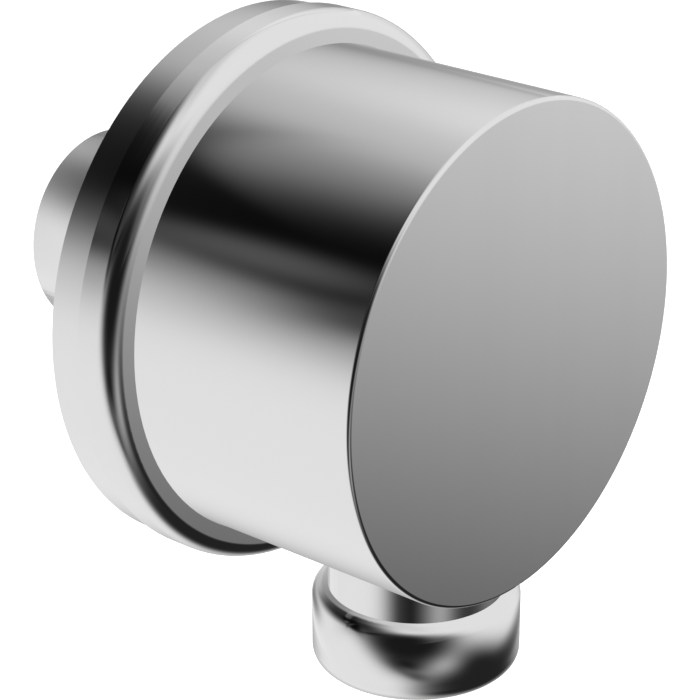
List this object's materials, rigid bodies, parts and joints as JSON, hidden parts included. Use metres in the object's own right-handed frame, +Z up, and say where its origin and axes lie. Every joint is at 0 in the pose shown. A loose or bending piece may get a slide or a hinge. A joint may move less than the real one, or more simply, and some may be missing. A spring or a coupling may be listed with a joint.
{
  "type": "wall outlet elbow",
  "caption": "Chromed wall outlet elbow for a shower hose: round closed body and stepped escutcheon on a wall connection, with the hose outlet pointing down.",
  "frame": {"origin": "axis of the round body and of the wall connection, at the wall plane", "axes": "+Y into the wall along the wall connection, -Y out to the round front face, +Z up, outlet along -Z"},
  "size_m": [0.0566, 0.0555, 0.0647],
  "materials": {
    "chrome_body": "bright chrome plating on brass",
    "chrome_trim": "bright chrome plating on brass",
    "chrome_nipple": "bright chrome plating on brass",
    "seal_rubber": "matt black rubber",
    "soft_gasket": "closed-cell foam rubber",
    "screw_steel": "plain stainless steel",
    "screen_steel": "thin perforated stainless steel",
    "ring_plastic": "white moulded plastic"
  },
  "bodies": {
    "root": {"elbow_body": "chrome_body", "escutcheon": "chrome_trim", "escutcheon_gasket": "soft_gasket", "escutcheon_o_ring": "seal_rubber", "outlet_nipple": "chrome_nipple", "outlet_o_ring": "seal_rubber", "wall_nipple": "chrome_nipple", "wall_seal": "seal_rubber", "nipple_o_ring_rear": "seal_rubber", "nipple_o_ring_front": "seal_rubber", "grub_screw": "screw_steel", "strainer_screen": "screen_steel", "strainer_ring": "ring_plastic"}
  },
  "joints": []
}
